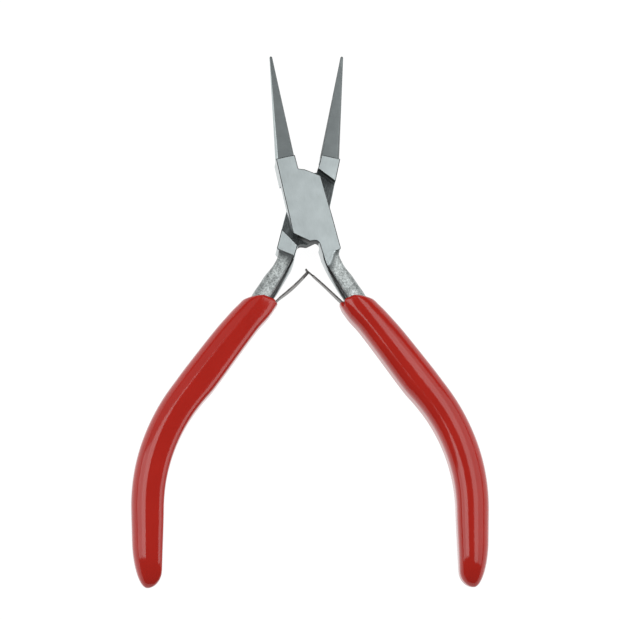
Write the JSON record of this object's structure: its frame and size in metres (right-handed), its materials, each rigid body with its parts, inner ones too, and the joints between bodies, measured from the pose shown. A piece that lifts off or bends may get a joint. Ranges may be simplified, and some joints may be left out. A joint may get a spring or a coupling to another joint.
{
  "type": "round nose pliers",
  "caption": "Round nose pliers with a lap joint, tapered round jaws, bowed handles in dipped grips and crossed leaf springs that hold them open.",
  "frame": {"origin": "on the pivot rivet's axis, in the plane of the joint's back face, on which the pliers lie", "axes": "+Y points from the joint to the jaw tips, +X to the right seen from the front, +Z out of the joint's front face"},
  "size_m": [0.0808, 0.1221, 0.009],
  "materials": {
    "polished_steel": "forged steel, polished on the joint and satin ground on the jaws",
    "red_vinyl": "glossy dipped vinyl, red",
    "spring_steel": "dark blued spring strip"
  },
  "bodies": {
    "back_half": {"back_lever": "polished_steel", "pivot_rivet": "polished_steel", "left_grip": "red_vinyl", "left_spring_foot": "spring_steel", "left_spring_rivet": "spring_steel"},
    "front_half": {"front_lever": "polished_steel", "right_grip": "red_vinyl", "right_spring_foot": "spring_steel", "right_spring_rivet": "spring_steel"},
    "left_blade": {"left_spring_blade": "spring_steel"},
    "right_blade": {"right_spring_blade": "spring_steel"}
  },
  "joints": [
    {"name": "pivot", "type": "hinge", "parent": "back_half", "child": "front_half", "pos_m": [0, 0, 0.0045], "axis": [0, 0, 1], "range_deg": [-24.8, 0], "stiffness_Nm_per_rad": 0.5, "springref_deg": 8.59},
    {"name": "left_blade_bend", "type": "hinge", "parent": "back_half", "child": "left_blade", "pos_m": [-0.00766, -0.02232, 0.0045], "axis": [0, 0, 1], "range_deg": [0, 19.7]},
    {"name": "right_blade_bend", "type": "hinge", "parent": "front_half", "child": "right_blade", "pos_m": [0.00766, -0.02232, 0.0045], "axis": [0, 0, 1], "range_deg": [-19.7, 0]}
  ],
  "couplings": [
    {"joint": "left_blade_bend", "follows": "pivot", "ratio": -0.794},
    {"joint": "right_blade_bend", "follows": "pivot", "ratio": 0.794}
  ]
}
